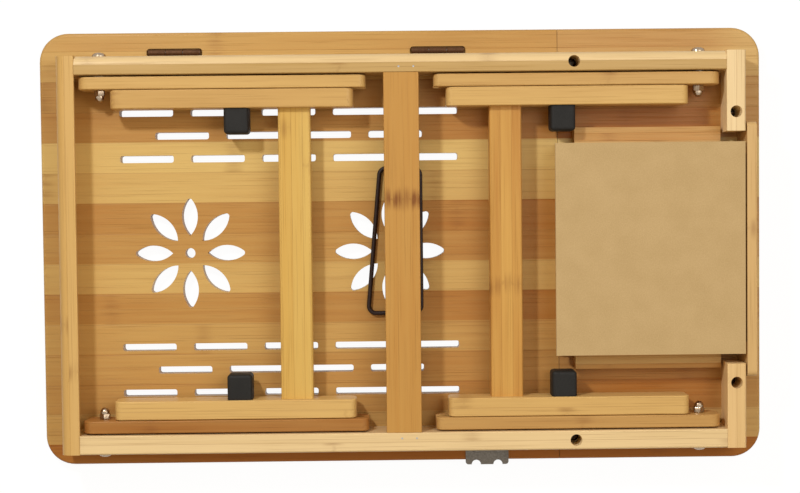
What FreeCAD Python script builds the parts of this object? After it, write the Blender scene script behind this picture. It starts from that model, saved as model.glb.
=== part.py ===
"""Folding laptop table, seen from below with its legs folded.

Millimetres. The table top lies face down on z = 0, +X runs along the top towards the drawer,
+Y points at the hinged long side and +Z comes out of the underside.
"""
import FreeCAD, Part
import math
import os
import re
import Sketcher
from FreeCAD import Placement, Rotation, Vector

doc = FreeCAD.newDocument("LaptopTable")

# Driving sizes
SIZES = {
    # table top
    "top_length": 500, "top_depth": 300, "top_thick": 9, "top_corner": 20, "top_edge": 2,
    "seam_x": 109, "seam_gap": 0.3,
    # dashed slots and flowers
    "fret_x": -78, "fret_y": -3, "slot_length": 37.2, "slot_width": 5, "slot_corner": 1.6,
    "slot_pitch": 49.3, "row_near": 65.5, "row_mid": 81.5, "row_far": 97.5,
    "flower_pitch": 138.8, "flower_hole": 3.5, "petal_start": 12, "petal_end": 39, "petal_width": 11,
    "petal_tip": 2,
    # frame
    "frame_length": 466, "frame_depth": 270, "frame_y": -3.5, "rail_width": 13, "rail_height": 28,
    "rail_round": 6, "block_hinge": 54.5, "block_free": 57.5, "block_round": 1.5, "edge_ease": 0.8,
    "end_undercut": 7.6, "block_undercut": 2.8,
    "dowel_radius": 2.5, "dowel_length": 18, "dowel_spread": 14,
    # centre rail
    "centre_width": 24, "centre_height": 20, "tenon_length": 8, "tenon_width": 16, "tenon_height": 10,
    "notch_depth": 2, "notch_first": -18.3, "notch_pitch": 10.3,
    "brad_radius": 0.7, "brad_length": 15, "brad_sink": 0.8, "brad_pitch": 10, "brad_x": 3.5,
    # screws through the frame into the fixed part of the top
    "sink_radius": 4, "sink_depth": 18, "screw_radius": 1.7, "screw_head": 3.5, "screw_head_height": 2.2,
    "screw_bite": 6, "rail_screw_x": 117, "block_screw_hinge": 90, "block_screw_free": -94,
    # hinges
    "hinge_length": 36, "hinge_seat_end": 1.3, "hinge_left": -156.4, "hinge_right": 26, "hinge_offset": 4.5,
    "knuckle_radius": 2.3, "leaf_thick": 1.2, "leaf_width": 15, "leaf_screw_inset": 4.5,
    "hinge_pin": 1.2, "knuckle_gap": 0.3,
    "hinge_screw_radius": 1.1, "hinge_screw_length": 6, "hinge_screw_pitch": 24,
    # prop bail and its clips
    "bail_wire": 1.5, "bail_rise": 2, "bail_pivot_y": 54.7, "bail_length": 100.7, "bail_left": -15,
    "bail_right": 13, "bail_left_foot": -24, "bail_corner": 5, "bail_turn_in": 9,
    "clip_width": 4, "clip_span": 15, "clip_strap": 1, "clip_screw": 1.2, "clip_screw_length": 6,
    "clip_screw_inset": 2.6,
    # lift tab
    "tab_x": 58, "tab_width": 30, "tab_depth": 13.4, "tab_out": 3, "tab_thick": 1.2, "tab_notch": 3.2,
    "tab_notch_pitch": 15.2, "tab_screw_pitch": 15.2, "tab_screw_inset": 3, "tab_corner": 2,
    # legs
    "leg_mirror": -1, "pivot_x": 204.5, "pivot_height": 14.7, "leg_depth": 22, "leg_width": 8.5,
    "leg_reach": 181.5, "leg_end_round": 5, "tail_reach": 13.2, "tail_round": 7,
    "groove_width": 7.2, "groove_depth": 3.5, "groove_start": 8,
    "track_width": 5.8, "track_stop": 4, "track_steps": 5, "extend_travel": 80,
    "slide_gap": 0.3, "slide_width": 12.8, "slide_depth": 20, "slide_start": 8.2, "slide_length": 164.8,
    "slide_end_round": 5, "tongue_round": 3, "tongue_width": 6.6, "tongue_height": 3.1,
    "cross_x": 132.5, "cross_width": 22, "cross_low": 8, "cross_high": 4, "cross_round": 1.5,
    "cross_tenon": 7, "cross_tenon_width": 16, "cross_tenon_height": 7,
    # pivots
    "bolt_radius": 2, "bolt_fit": 0.05, "bolt_head": 4.7, "bolt_head_height": 3.4, "bolt_dome": 5.8,
    "washer_radius": 6, "washer_thick": 1, "nut_radius": 3.5, "nut_height": 4.6, "dome_radius": 3.4,
    # lock knobs
    "knob_x": 93.5, "knob_size": 17, "knob_height": 16, "knob_reach": 17.5, "knob_round": 2.5,
    "pin_radius": 2.5, "pin_fit": 0.06, "pin_in_knob": 11, "pin_short": 1, "collar_radius": 4,
    "collar_thick": 1.5, "collar_sink": 0.2, "spring_pocket": 4.4, "spring_depth": 9.5,
    "spring_radius": 3.3, "spring_wire": 0.45, "spring_turns": 3,
    # drawer
    "drawer_y": -2.3, "drawer_back_x": 104, "drawer_overhang": 4, "drawer_width": 144.3, "drawer_wall": 8,
    "drawer_lift": 1, "drawer_side_height": 23, "drawer_board": 3, "drawer_board_short": 1.2,
    "front_gap": 1, "front_thick": 7, "front_width": 173.4,
    "front_height": 26, "front_corner": 4,
    "runner_start": 119.2, "runner_width": 10.7, "runner_height": 10.2, "runner_gap": 0.5,
    "rib_depth": 3.4, "rib_height": 4.8, "rib_gap": 0.3,
}

sheet = doc.addObject("Spreadsheet::Sheet", "Sizes")
for row, (alias, value) in enumerate(SIZES.items(), start=1):
    sheet.set("A%d" % row, alias)
    sheet.set("B%d" % row, str(value))
    sheet.setAlias("B%d" % row, alias)
doc.recompute()

# Places that several pieces share, as formulas of the driving sizes
UNDER = "top_thick"
NEAR = "(top_thick + rail_height)"
LEFT = "(-frame_length / 2)"
RIGHT = "(frame_length / 2)"
HINGE_OUT = "(frame_y + frame_depth / 2)"
HINGE_IN = "(frame_y + frame_depth / 2 - rail_width)"
FREE_OUT = "(frame_y - frame_depth / 2)"
FREE_IN = "(frame_y - frame_depth / 2 + rail_width)"
HINGE_AXIS = "(frame_y + frame_depth / 2 + hinge_offset)"
PIVOT_Z = "(top_thick + pivot_height)"
SLIDE_FACE = "(washer_thick + leg_width + slide_gap)"
SLIDE_INNER = "(washer_thick + leg_width + slide_gap + slide_width)"
DRAWER_FRONT_X = "(frame_length / 2 + front_gap)"
DRAWER_BACK = "(drawer_back_x + drawer_overhang)"
HINGES = {"left": "hinge_left", "right": "hinge_right"}
LEAF_SCREW_Y = "(frame_y + frame_depth / 2 + hinge_offset - leaf_width + leaf_screw_inset)"
TAB_SCREW_Y = "(tab_depth - top_depth / 2 - tab_out - tab_screw_inset)"
CLIP_SCREW_Y = "(clip_span / 2 - clip_screw_inset)"
CLIPS = ["(bail_left + bail_turn_in - clip_width / 2)", "(bail_right - bail_turn_in + clip_width / 2)"]
PIVOTS = {"left": "(leg_mirror - pivot_x)", "right": "(leg_mirror + pivot_x)"}
RAIL_INNER = {"hinge": HINGE_IN, "free": FREE_IN}
RAIL_MIDDLE = {"hinge": "(frame_y + frame_depth / 2 - rail_width / 2)",
               "free": "(frame_y - frame_depth / 2 + rail_width / 2)"}
DOWEL_HEIGHTS = ["(top_thick + rail_height / 2 %s dowel_spread / 2)" % side for side in "-+"]
TENON_Z = "(top_thick + rail_height - centre_height / 2)"
BRAD_Y = {"hinge": HINGE_IN + " + tenon_length / 2", "free": FREE_IN + " - tenon_length / 2"}
BLOCK_SCREW_X = "(frame_length / 2 - rail_width / 2)"
SCREW_SPOTS = [("rail_screw_x", RAIL_MIDDLE["hinge"]), ("rail_screw_x", RAIL_MIDDLE["free"]),
               (BLOCK_SCREW_X, "block_screw_hinge"), (BLOCK_SCREW_X, "block_screw_free")]
SIGNS = {"hinge": "1", "free": "-1"}
PETALS = 8
SLOTS = {"row_near": 5, "row_mid": 4, "row_far": 5}
NOTCHES = 3
NEARLY = 1e-4
QUARTER = math.pi / 2


def formula(text):
    """Point every size word of a formula at its cell."""
    return re.sub(r"[a-z][a-z_]+", lambda word: "Sizes." + word.group(0), str(text))


def bind(item, prop, text):
    item.setExpression(prop, formula(text))


def place(item, x, y, z, prop="Placement"):
    for axis, text in zip("xyz", (x, y, z)):
        bind(item, "%s.Base.%s" % (prop, axis), text)


# Bodies grown from sketches

def new_body(label):
    item = doc.addObject("PartDesign::Body", label)
    item.Label = label
    return item


def origin_part(item, role):
    return [part for part in item.Origin.OriginFeatures if part.Role == role][0]


def new_sketch(item, role, offset=(0, 0, 0)):
    drawing = item.newObject("Sketcher::SketchObject", "Sketch")
    drawing.AttachmentSupport = [(origin_part(item, role), "")]
    drawing.MapMode = "FlatFace"
    place(drawing, *offset, prop="AttachmentOffset")
    return drawing


def fix_point(drawing, line, end, x, y):
    for kind, text in (("DistanceX", x), ("DistanceY", y)):
        number = drawing.addConstraint(Sketcher.Constraint(kind, -1, 1, line, end, 1.0))
        bind(drawing, "Constraints[%d]" % number, text)


def outline(drawing, corners):
    """A closed outline of straight lines through corners given as formulas."""
    count = len(corners)
    first = drawing.GeometryCount
    circle = Part.Circle(Vector(0, 0, 0), Vector(0, 0, 1), 10)
    spots = [circle.value(math.tau * step / count) for step in range(count)]
    for step in range(count):
        drawing.addGeometry(Part.LineSegment(spots[step], spots[(step + 1) % count]))
    for step in range(count):
        following = first + (step + 1) % count
        drawing.addConstraint(Sketcher.Constraint("Coincident", first + step, 2, following, 1))
        fix_point(drawing, first + step, 1, *corners[step])


def rectangle(drawing, x0, x1, y0, y1):
    outline(drawing, [(x0, y0), (x1, y0), (x1, y1), (x0, y1)])


def disc(drawing, x, y, radius):
    number = drawing.addGeometry(Part.Circle(Vector(1, 1, 0), Vector(0, 0, 1), 1))
    fix_point(drawing, number, 3, x, y)
    size = drawing.addConstraint(Sketcher.Constraint("Radius", number, 1.0))
    bind(drawing, "Constraints[%d]" % size, radius)


def round_rectangle(drawing, width, height, corner):
    """A rounded rectangle centred on the sketch's own origin."""
    half, low, radius = 20, 10, 2
    first = drawing.GeometryCount
    sides = [((-1, -1), (1, -1)), ((1, -1), (1, 1)), ((1, 1), (-1, 1)), ((-1, 1), (-1, -1))]
    for step, ((ax, ay), (bx, by)) in enumerate(sides):
        along = Vector((bx - ax) / 2 * radius, (by - ay) / 2 * radius, 0)
        start = Vector(ax * half, ay * low, 0) + along
        end = Vector(bx * half, by * low, 0) - along
        drawing.addGeometry(Part.LineSegment(start, end))
        centre = Vector(bx * (half - radius), by * (low - radius), 0)
        ring = Part.Circle(centre, Vector(0, 0, 1), radius)
        drawing.addGeometry(Part.ArcOfCircle(ring, QUARTER * (step - 1), QUARTER * step))
    for step in range(4):
        line = first + 2 * step
        drawing.addConstraint(Sketcher.Constraint("Tangent", line, 2, line + 1, 1))
        drawing.addConstraint(Sketcher.Constraint("Tangent", line + 1, 2, first + (2 * step + 2) % 8, 1))
        drawing.addConstraint(Sketcher.Constraint("Vertical" if step % 2 else "Horizontal", line))
        if step:
            drawing.addConstraint(Sketcher.Constraint("Equal", first + 1, line + 1))
    drawing.addConstraint(Sketcher.Constraint("Symmetric", first + 3, 3, first + 7, 3, -1, 1))
    for kind, ends, drawn, text in (("Radius", (first + 1,), radius, corner),
                                    ("DistanceX", (first + 6, 1, first + 2, 1), 2 * half, width),
                                    ("DistanceY", (first, 1, first + 4, 1), 2 * low, height)):
        number = drawing.addConstraint(Sketcher.Constraint(kind, *ends, float(drawn)))
        bind(drawing, "Constraints[%d]" % number, text)


def pad(item, drawing, length, back=False):
    feature = item.newObject("PartDesign::Pad", "Pad")
    feature.Profile = drawing
    bind(feature, "Length", length)
    feature.Reversed = back
    drawing.Visibility = False
    return feature


def pocket(item, drawing, depth, back=False):
    """Cut against the sketch's normal, or along it when back is set."""
    feature = item.newObject("PartDesign::Pocket", "Pocket")
    feature.Profile = drawing
    bind(feature, "Length", depth)
    feature.Reversed = back
    drawing.Visibility = False
    return feature


def cut_disc(item, role, offset, radius, depth, back=False):
    drawing = new_sketch(item, role, offset)
    disc(drawing, 0, 0, radius)
    return pocket(item, drawing, depth, back)


def cut_discs(item, role, height, spots, radius, depth, back=False):
    """Several equal round holes from one plane."""
    drawing = new_sketch(item, role, (0, 0, height))
    for x, y in spots:
        disc(drawing, x, y, radius)
    return pocket(item, drawing, depth, back)


def row_of(item, feature, role, length, count):
    """Repeat a feature along one of the body's own axes."""
    pattern = item.newObject("PartDesign::LinearPattern", "Row")
    pattern.Originals = [feature]
    pattern.Direction = (origin_part(item, role), [""])
    bind(pattern, "Length", length)
    bind(pattern, "Occurrences", count)
    item.Tip = pattern
    return pattern


def round_edges(item, radius, chosen):
    doc.recompute()
    base = item.Tip
    names = ["Edge%d" % (number + 1) for number, edge in enumerate(base.Shape.Edges) if chosen(edge)]
    feature = item.newObject("PartDesign::Fillet", "Round")
    feature.Base = (base, names)
    bind(feature, "Radius", radius)
    return feature


def runs(edge, axis):
    """True for a straight edge along one axis."""
    box = edge.BoundBox
    spans = {"x": box.XLength, "y": box.YLength, "z": box.ZLength}
    return spans.pop(axis) > NEARLY and max(spans.values()) < NEARLY


def level(edge, axis, value):
    """True for an edge that lies wholly at one height along an axis."""
    box = edge.BoundBox
    low, high = {"x": (box.XMin, box.XMax), "y": (box.YMin, box.YMax), "z": (box.ZMin, box.ZMax)}[axis]
    return abs(low - value) < NEARLY and abs(high - value) < NEARLY


def ease_near_edges(item, axis, across, spots):
    """Soften the near edges of a frame piece that run along one axis at given spots across it."""
    near = SIZES["top_thick"] + SIZES["rail_height"]
    round_edges(item, "edge_ease", lambda edge: runs(edge, axis) and level(edge, "z", near)
                and any(level(edge, across, spot) for spot in spots))


def undercut(item, face_x, foot_x, start_y, length):
    """Slope the inner face of an end piece back towards its foot."""
    drawing = new_sketch(item, "XZ_Plane", (0, 0, "-(%s)" % start_y))
    outline(drawing, [(face_x, UNDER), (foot_x, UNDER), (face_x, NEAR + " - 2 * edge_ease")])
    pocket(item, drawing, length, back=True)


# The table top

def cut_leaf_seats(item, back):
    """Shallow seats for the hinge leaves, with pilot holes for their screws."""
    drawing = new_sketch(item, "XY_Plane", (0, HINGE_AXIS, UNDER))
    for hinge_x in HINGES.values():
        rectangle(drawing, hinge_x + " - hinge_length / 2", hinge_x + " + hinge_length / 2",
                  "-leaf_width", "0")
    pocket(item, drawing, "leaf_thick", back)
    spots = [("%s %s hinge_screw_pitch / 2" % (x, side), LEAF_SCREW_Y)
             for x in HINGES.values() for side in "-+"]
    cut_discs(item, "XY_Plane", UNDER, spots, "hinge_screw_radius", "hinge_screw_length", back)


def slab(label, x0, x1, corner_x):
    """A part of the table top, rounded at the two corners of its outer end."""
    item = new_body(label)
    drawing = new_sketch(item, "XY_Plane")
    rectangle(drawing, x0, x1, "-top_depth / 2", "top_depth / 2")
    pad(item, drawing, "top_thick")
    round_edges(item, "top_corner", lambda edge: runs(edge, "z") and level(edge, "x", corner_x))
    seam_x = SIZES["seam_x"]
    round_edges(item, "top_edge", lambda edge: edge.BoundBox.ZLength < NEARLY
                and abs(edge.CenterOfMass.x - seam_x) > SIZES["seam_gap"])
    return item


def petal(drawing):
    """One petal between two equal arcs, pointing along the sketch's x."""
    span = SIZES["petal_end"] - SIZES["petal_start"]
    width = SIZES["petal_width"]
    radius = (span ** 2 + width ** 2) / (4 * width)
    middle = (SIZES["petal_end"] + SIZES["petal_start"]) / 2
    lean = math.acos(span / 2 / radius)
    for side, turn in ((-1, 0), (1, math.pi)):
        centre = Vector(middle, side * (radius - width / 2), 0)
        ring = Part.Circle(centre, Vector(0, 0, 1), radius)
        drawing.addGeometry(Part.ArcOfCircle(ring, turn + lean, turn + math.pi - lean))
    drawing.addConstraint(Sketcher.Constraint("Coincident", 0, 2, 1, 1))
    drawing.addConstraint(Sketcher.Constraint("Coincident", 0, 1, 1, 2))
    drawing.addConstraint(Sketcher.Constraint("Equal", 0, 1))
    for end, place_x in ((1, "petal_end"), (2, "petal_start")):
        drawing.addConstraint(Sketcher.Constraint("PointOnObject", 0, end, -1))
        number = drawing.addConstraint(Sketcher.Constraint("DistanceX", -1, 1, 0, end, SIZES[place_x]))
        bind(drawing, "Constraints[%d]" % number, place_x)
    number = drawing.addConstraint(Sketcher.Constraint("Radius", 0, radius))
    bind(drawing, "Constraints[%d]" % number,
         "((petal_end - petal_start)^2 + petal_width^2) / (4 * petal_width)")


def cut_flower(item, centre_x):
    drawing = new_sketch(item, "XY_Plane", (centre_x, "fret_y", 0))
    petal(drawing)
    first = pocket(item, drawing, "top_thick", back=True)
    ring = item.newObject("PartDesign::PolarPattern", "Petals")
    ring.Originals = [first]
    ring.Axis = (drawing, ["N_Axis"])
    ring.Angle = 360
    ring.Occurrences = PETALS
    item.Tip = ring
    cut_disc(item, "XY_Plane", (centre_x, "fret_y", 0), "flower_hole", "top_thick", back=True)


def cut_slot_row(item, row_y, count):
    """A row of dashed slots centred on the fretwork."""
    first_x = "fret_x - slot_pitch * %d / 2" % (count - 1)
    drawing = new_sketch(item, "XY_Plane", (first_x, row_y, 0))
    round_rectangle(drawing, "slot_length", "slot_width", "slot_corner")
    first = pocket(item, drawing, "top_thick", back=True)
    row_of(item, first, "X_Axis", "slot_pitch * %d" % (count - 1), count)


def tilt_panel():
    item = slab("tilt_panel", "-top_length / 2", "seam_x - seam_gap / 2", -SIZES["top_length"] / 2)
    for hinge_x in HINGES.values():
        drawing = new_sketch(item, "XY_Plane", (hinge_x, HINGE_AXIS, UNDER))
        round_rectangle(drawing, "hinge_length + 2 * hinge_seat_end",
                        "2 * knuckle_radius + 4 * knuckle_gap", "knuckle_radius")
        pocket(item, drawing, "knuckle_radius + 2 * knuckle_gap")
    cut_leaf_seats(item, back=False)
    plate_screws = ["tab_x %s tab_screw_pitch / 2" % side for side in "-+"]
    spots = [(x, TAB_SCREW_Y) for x in plate_screws]
    spots += [(x, "bail_pivot_y %s %s" % (side, CLIP_SCREW_Y)) for x in CLIPS for side in "-+"]
    cut_discs(item, "XY_Plane", UNDER, spots, "clip_screw", "clip_screw_length")
    for row, count in SLOTS.items():
        cut_slot_row(item, "fret_y + " + row, count)
        cut_slot_row(item, "fret_y - " + row, count)
    for side in "-+":
        cut_flower(item, "fret_x %s flower_pitch / 2" % side)
    middles = [SIZES["fret_x"] + side * SIZES["flower_pitch"] / 2 for side in (-1, 1)]
    round_edges(item, "petal_tip", lambda edge: runs(edge, "z") and any(
        abs(math.hypot(edge.CenterOfMass.x - middle, edge.CenterOfMass.y - SIZES["fret_y"])
            - SIZES["petal_end"]) < NEARLY for middle in middles))
    return item


def fixed_panel():
    item = slab("fixed_panel", "seam_x + seam_gap / 2", "top_length / 2", SIZES["top_length"] / 2)
    cut_discs(item, "XY_Plane", UNDER, SCREW_SPOTS, "screw_radius", "screw_bite")
    return item


# The frame

def cut_screw_way(item, x, y):
    """A deep counterbore for a screw head, and the way through for its shank."""
    cut_disc(item, "XY_Plane", (x, y, NEAR), "sink_radius", "sink_depth")
    cut_disc(item, "XY_Plane", (x, y, NEAR), "screw_radius + bolt_fit", "rail_height")


def long_rail(label, out_y, in_y, outer, screw_y, hinged):
    """A long rail with its outer edge rounded, the leg pivots and the centre rail's mortise."""
    item = new_body(label)
    start = "(rail_width - frame_length / 2)"
    drawing = new_sketch(item, "YZ_Plane", (0, 0, start))
    rectangle(drawing, in_y, out_y, UNDER, NEAR)
    pad(item, drawing, "frame_length - 2 * rail_width")
    near = SIZES["top_thick"] + SIZES["rail_height"]
    round_edges(item, "rail_round" if hinged else "block_round",
                lambda edge: runs(edge, "x") and level(edge, "y", outer) and level(edge, "z", near))
    inward = -SIZES["rail_width"] if hinged else SIZES["rail_width"]
    ease_near_edges(item, "x", "y", [outer + inward])
    low = in_y if hinged else out_y
    for pivot in PIVOTS.values():
        cut_disc(item, "XZ_Plane", (pivot, PIVOT_Z, "-" + low), "bolt_radius + bolt_fit", "rail_width")
    for height in DOWEL_HEIGHTS:
        middle = "(%s + %s) / 2" % (in_y, out_y)
        cut_disc(item, "YZ_Plane", (middle, height, start), "dowel_radius", "dowel_length / 2", back=True)
        cut_disc(item, "YZ_Plane", (middle, height, "-" + start), "dowel_radius", "dowel_length / 2")
    mortise = new_sketch(item, "XZ_Plane", (0, TENON_Z, "-" + in_y))
    rectangle(mortise, "-tenon_width / 2", "tenon_width / 2", "-tenon_height / 2", "tenon_height / 2")
    pocket(item, mortise, "tenon_length", back=not hinged)
    spots = [("brad_x %s brad_pitch / 2" % side, BRAD_Y["hinge" if hinged else "free"]) for side in "-+"]
    cut_discs(item, "XY_Plane", NEAR, spots, "brad_radius", "brad_length + brad_sink")
    cut_screw_way(item, "rail_screw_x", screw_y)
    if hinged:
        cut_leaf_seats(item, back=True)
    return item


def end_rail():
    item = new_body("end_rail")
    drawing = new_sketch(item, "XZ_Plane", (0, 0, "-" + HINGE_OUT))
    rectangle(drawing, LEFT, LEFT + " + rail_width", UNDER, NEAR)
    pad(item, drawing, "frame_depth")
    outer = -SIZES["frame_length"] / 2
    near = SIZES["top_thick"] + SIZES["rail_height"]
    round_edges(item, "rail_round",
                lambda edge: runs(edge, "y") and level(edge, "x", outer) and level(edge, "z", near))
    ease_near_edges(item, "y", "x", [outer + SIZES["rail_width"]])
    face = LEFT + " + rail_width"
    undercut(item, face, face + " - end_undercut", HINGE_IN, "frame_depth - 2 * rail_width")
    for height in DOWEL_HEIGHTS:
        for middle in RAIL_MIDDLE.values():
            cut_disc(item, "YZ_Plane", (middle, height, face), "dowel_radius", "dowel_length / 2")
    return item


def end_block(label, start_y, length, open_y, middle, screw_y):
    """A short end block beside the drawer, undercut where no rail butts against it."""
    item = new_body(label)
    face = RIGHT + " - rail_width"
    drawing = new_sketch(item, "XZ_Plane", (0, 0, "-(%s)" % start_y))
    rectangle(drawing, face, RIGHT, UNDER, NEAR)
    pad(item, drawing, length)
    outer = SIZES["frame_length"] / 2
    near = SIZES["top_thick"] + SIZES["rail_height"]
    round_edges(item, "block_round", lambda edge: level(edge, "x", outer) and level(edge, "z", near))
    ease_near_edges(item, "y", "x", [outer - SIZES["rail_width"]])
    undercut(item, face, face + " + block_undercut", open_y, length + " - rail_width")
    for height in DOWEL_HEIGHTS:
        cut_disc(item, "YZ_Plane", (middle, height, face), "dowel_radius", "dowel_length / 2", back=True)
    cut_screw_way(item, BLOCK_SCREW_X, screw_y)
    return item


def centre_rail():
    """The rail across the middle, tenoned into the long rails and notched for the prop."""
    item = new_body("centre_rail")
    inside = "(frame_depth - 2 * rail_width)"
    drawing = new_sketch(item, "XZ_Plane", (0, TENON_Z, "-" + HINGE_IN))
    rectangle(drawing, "-centre_width / 2", "centre_width / 2", "-centre_height / 2", "centre_height / 2")
    pad(item, drawing, inside)
    ease_near_edges(item, "y", "x", [-SIZES["centre_width"] / 2, SIZES["centre_width"] / 2])
    drawing = new_sketch(item, "XZ_Plane", (0, TENON_Z, "-%s - tenon_length" % HINGE_IN))
    rectangle(drawing, "-tenon_width / 2", "tenon_width / 2", "-tenon_height / 2", "tenon_height / 2")
    pad(item, drawing, inside + " + 2 * tenon_length")
    for step in range(NOTCHES):
        spot = ("notch_first - notch_pitch * %d" % step, NEAR + " - centre_height", "centre_width / 2")
        cut_disc(item, "YZ_Plane", spot, "notch_depth", "centre_width")
    spots = [("brad_x %s brad_pitch / 2" % side, y) for y in BRAD_Y.values() for side in "-+"]
    cut_discs(item, "XY_Plane", NEAR, spots, "brad_radius", "brad_length + brad_sink")
    return item


def runner(label, side):
    """A drawer runner, a strip with a rib for the drawer's grooved side."""
    item = new_body(label)
    inner = "%s * (drawer_width / 2 + runner_gap)" % side
    outer = "%s * (drawer_width / 2 + runner_gap + runner_width)" % side
    rib = "%s * (drawer_width / 2 - rib_depth)" % side
    drawing = new_sketch(item, "YZ_Plane", ("drawer_y", UNDER, "runner_start"))
    outline(drawing, [(inner, "0"), (outer, "0"), (outer, "runner_height"), (rib, "runner_height"),
                      (rib, "runner_height - rib_height"), (inner, "runner_height - rib_height")])
    pad(item, drawing, RIGHT + " - rail_width - runner_start")
    return item


# The legs, each drawn from its pivot along the bar and turned into place

def leg_body(label, side, edge):
    item = new_body(label)
    turn = {("left", "hinge"): Rotation(),
            ("right", "hinge"): Rotation(Vector(0, 1, 0), 180),
            ("left", "free"): Rotation(Vector(1, 0, 0), 180),
            ("right", "free"): Rotation(Vector(0, 0, 1), 180)}
    item.Placement = Placement(Vector(), turn[side, edge])
    place(item, PIVOTS[side], RAIL_INNER[edge], PIVOT_Z)
    return item


def upper_leg(side, edge):
    """The outer bar of a leg, grooved for the inner bar, with a scalloped track for the lock pin."""
    item = leg_body("upper_leg_%s_%s_side" % (side, edge), side, edge)
    drawing = new_sketch(item, "XZ_Plane", (0, 0, "washer_thick"))
    rectangle(drawing, "-tail_reach", "leg_reach", "-leg_depth / 2", "leg_depth / 2")
    pad(item, drawing, "leg_width")
    for radius, end in (("tail_round", -SIZES["tail_reach"]), ("leg_end_round", SIZES["leg_reach"])):
        round_edges(item, radius, lambda line: runs(line, "y") and level(line, "x", end))
    round_edges(item, "edge_ease", lambda line: runs(line, "x"))
    inner = "washer_thick + leg_width"
    groove = new_sketch(item, "XZ_Plane", (0, 0, inner))
    rectangle(groove, "groove_start", "leg_reach", "-groove_width / 2", "groove_width / 2")
    pocket(item, groove, "groove_depth")
    track = new_sketch(item, "XZ_Plane", (0, 0, inner))
    rectangle(track, "knob_x", "knob_x + extend_travel", "-track_width / 2", "track_width / 2")
    pocket(item, track, "leg_width")
    stop = cut_disc(item, "XZ_Plane", ("knob_x", 0, inner), "track_stop", "leg_width")
    row_of(item, stop, "X_Axis", "extend_travel", "track_steps")
    cut_disc(item, "XZ_Plane", (0, 0, inner), "bolt_radius + bolt_fit", "leg_width")
    return item


def lower_leg(side, edge):
    """The inner bar of a leg, with the tongue that slides in the outer bar's groove."""
    item = leg_body("lower_leg_%s_%s_side" % (side, edge), side, edge)
    middle = "slide_start + slide_length / 2"
    drawing = new_sketch(item, "XZ_Plane", (middle, 0, SLIDE_FACE))
    round_rectangle(drawing, "slide_length", "slide_depth", "slide_end_round")
    pad(item, drawing, "slide_width")
    round_edges(item, "edge_ease", lambda line: runs(line, "x"))
    tongue = new_sketch(item, "XZ_Plane", (middle, 0, SLIDE_FACE))
    round_rectangle(tongue, "slide_length - 2 * slide_end_round", "tongue_width", "tongue_round")
    pad(item, tongue, "tongue_height", back=True)
    mortise = new_sketch(item, "XZ_Plane", ("cross_x", 0, SLIDE_INNER))
    rectangle(mortise, "-cross_tenon_width / 2", "cross_tenon_width / 2",
              "-cross_tenon_height / 2", "cross_tenon_height / 2")
    pocket(item, mortise, "cross_tenon")
    cut_disc(item, "XZ_Plane", ("knob_x", 0, SLIDE_INNER), "pin_radius + pin_fit",
             "slide_width + tongue_height")
    cut_disc(item, "XZ_Plane", ("knob_x", 0, SLIDE_FACE + " + spring_depth"), "spring_pocket",
             "spring_depth + tongue_height")
    return item


def crossbar(side):
    """The bar that joins the two inner bars of a pair."""
    item = new_body("crossbar_" + side)
    centre = "leg_mirror %s" % ("- pivot_x + cross_x" if side == "left" else "+ pivot_x - cross_x")
    end = "%s - %s" % (HINGE_IN, SLIDE_INNER)
    length = "frame_depth - 2 * rail_width - 2 * " + SLIDE_INNER
    drawing = new_sketch(item, "XZ_Plane", (centre, PIVOT_Z, "-(%s)" % end))
    rectangle(drawing, "-cross_width / 2", "cross_width / 2", "-cross_low", "cross_high")
    pad(item, drawing, length)
    round_edges(item, "cross_round", lambda edge: runs(edge, "y"))
    tenon = new_sketch(item, "XZ_Plane", (centre, PIVOT_Z, "-(%s) - cross_tenon" % end))
    rectangle(tenon, "-cross_tenon_width / 2", "cross_tenon_width / 2",
              "-cross_tenon_height / 2", "cross_tenon_height / 2")
    pad(item, tenon, length + " + 2 * cross_tenon")
    return item


def lock_knob(side, edge):
    """A square pull knob with softened edges, moulded round the end of its pin."""
    item = leg_body("lock_knob_%s_%s_side" % (side, edge), side, edge)
    drawing = new_sketch(item, "XZ_Plane", ("knob_x", 0, SLIDE_INNER))
    round_rectangle(drawing, "knob_size", "knob_height", "knob_round")
    pad(item, drawing, "knob_reach")
    far = -(SIZES["washer_thick"] + SIZES["leg_width"] + SIZES["slide_gap"] + SIZES["slide_width"]
            + SIZES["knob_reach"])
    round_edges(item, "knob_round", lambda line: level(line, "y", far))
    cut_disc(item, "XZ_Plane", ("knob_x", 0, SLIDE_INNER + " + pin_in_knob"), "pin_radius", "pin_in_knob")
    return item


def lock_pin(side, edge):
    """A turned pin with the collar that its spring pushes on."""
    item = leg_body("lock_pin_%s_%s_side" % (side, edge), side, edge)
    tip = "(washer_thick + pin_short)"
    shank = new_sketch(item, "XZ_Plane", ("knob_x", 0, tip))
    disc(shank, 0, 0, "pin_radius")
    pad(item, shank, "%s + pin_in_knob - %s" % (SLIDE_INNER, tip))
    collar = new_sketch(item, "XZ_Plane", ("knob_x", 0, SLIDE_FACE + " + collar_sink"))
    disc(collar, 0, 0, "collar_radius")
    pad(item, collar, "collar_thick")
    return item


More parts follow.
